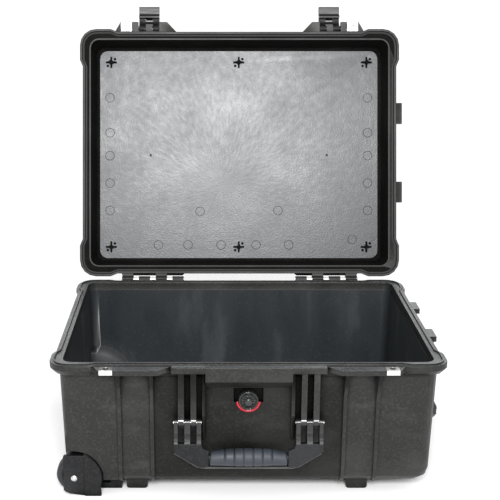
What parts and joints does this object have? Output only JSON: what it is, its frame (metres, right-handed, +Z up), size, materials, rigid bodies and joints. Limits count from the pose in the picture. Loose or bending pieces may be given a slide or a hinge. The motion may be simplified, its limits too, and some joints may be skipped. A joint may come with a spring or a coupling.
{
  "type": "wheeled hard equipment case",
  "caption": "Black wheeled hard case with its lid open: gasket-sealed moulded shells, front latches, fold-down carry handles, pull handle and stainless padlock plates.",
  "frame": {"origin": "middle of the footprint of the open case, at floor level", "axes": "+Z up; -Y is the latch side (front); +X runs along the case to the side-handle end, away from the wheels"},
  "size_m": [0.5888, 0.6222, 0.6787],
  "materials": {
    "shell": "fine-textured black polypropylene, slight sheen",
    "moulding": "black moulded nylon",
    "gloss_black": "glossy black plastic",
    "grip_rubber": "soft grey-black over-mould",
    "wheel_rubber": "black polyurethane tread",
    "seal": "matt black elastomer",
    "steel": "bright stainless steel",
    "aluminium": "plain aluminium extrusion",
    "red_seal": "red elastomer ring",
    "button": "smooth dark grey plastic"
  },
  "bodies": {
    "base": {"base_shell": "shell", "wheel_housing_front": "moulding", "wheel_housing_rear": "moulding", "wheel_housing_screw_front": "steel", "wheel_housing_screw_rear": "steel", "wheel_axle_front": "steel", "wheel_axle_rear": "steel", "padlock_plate_base_left": "steel", "padlock_plate_base_right": "steel", "hinge_pin_left": "steel", "hinge_pin_right": "steel", "front_handle_pin_left": "steel", "front_handle_pin_right": "steel", "side_handle_pin_front": "steel", "side_handle_pin_rear": "steel", "purge_valve_body": "gloss_black", "purge_valve_ring": "red_seal", "purge_valve_nut": "moulding", "pull_guide_front": "moulding", "pull_guide_rear": "moulding"},
    "lid": {"lid_shell": "shell", "lid_gasket": "seal", "padlock_plate_lid_left": "steel", "padlock_plate_lid_right": "steel", "latch_pin_left": "steel", "latch_pin_right": "steel"},
    "latch_left": {"latch_jaw_left": "gloss_black", "lever_pin_left": "steel"},
    "latch_right": {"latch_jaw_right": "gloss_black", "lever_pin_right": "steel"},
    "lever_left": {"latch_lever_left": "gloss_black"},
    "lever_right": {"latch_lever_right": "gloss_black"},
    "front_handle": {"front_handle_frame": "moulding", "front_handle_grip": "grip_rubber"},
    "side_handle": {"side_handle_frame": "moulding", "side_handle_grip": "grip_rubber"},
    "wheel_front": {"wheel_tyre_front": "wheel_rubber", "wheel_hub_front": "moulding", "wheel_bearing_front": "steel"},
    "wheel_rear": {"wheel_tyre_rear": "wheel_rubber", "wheel_hub_rear": "moulding", "wheel_bearing_rear": "steel"},
    "pull_handle": {"pull_arm_front": "aluminium", "pull_arm_rear": "aluminium", "pull_grip": "moulding"},
    "pull_button_body": {"pull_button": "button"}
  },
  "joints": [
    {"name": "lid_hinge", "type": "hinge", "parent": "base", "child": "lid", "pos_m": [-0.0085, 0.1541, 0.208], "axis": [1, 0, 0], "range_deg": [0, 104.5]},
    {"name": "latch_left", "type": "hinge", "parent": "lid", "child": "latch_left", "pos_m": [-0.171, 0.27747, 0.64111], "axis": [1, 0, 0], "range_deg": [-20, 90]},
    {"name": "latch_right", "type": "hinge", "parent": "lid", "child": "latch_right", "pos_m": [0.154, 0.27747, 0.64111], "axis": [1, 0, 0], "range_deg": [-20, 90]},
    {"name": "lever_left", "type": "hinge", "parent": "latch_left", "child": "lever_left", "pos_m": [-0.171, 0.2987, 0.65731], "axis": [-1, 0, 0], "range_deg": [0, 50]},
    {"name": "lever_right", "type": "hinge", "parent": "latch_right", "child": "lever_right", "pos_m": [0.154, 0.2987, 0.65731], "axis": [-1, 0, 0], "range_deg": [0, 50]},
    {"name": "front_handle_pivot", "type": "hinge", "parent": "base", "child": "front_handle", "pos_m": [-0.0085, -0.2936, 0.123], "axis": [-1, 0, 0], "range_deg": [0, 92]},
    {"name": "side_handle_pivot", "type": "hinge", "parent": "base", "child": "side_handle", "pos_m": [0.2769, -0.0725, 0.123], "axis": [0, -1, 0], "range_deg": [0, 92]},
    {"name": "wheel_front_roll", "type": "hinge", "parent": "base", "child": "wheel_front", "pos_m": [-0.263, -0.2551, 0.0275], "axis": [0, 1, 0], "continuous": true},
    {"name": "wheel_rear_roll", "type": "hinge", "parent": "base", "child": "wheel_rear", "pos_m": [-0.263, 0.1101, 0.0275], "axis": [0, 1, 0], "continuous": true},
    {"name": "pull_handle_slide", "type": "slide", "parent": "base", "child": "pull_handle", "axis": [1, 0, 0], "range_m": [0, 0.3]},
    {"name": "pull_button_press", "type": "slide", "parent": "pull_handle", "child": "pull_button_body", "axis": [-1, 0, 0], "range_m": [0, 0.003], "stiffness_N_per_m": 700}
  ]
}
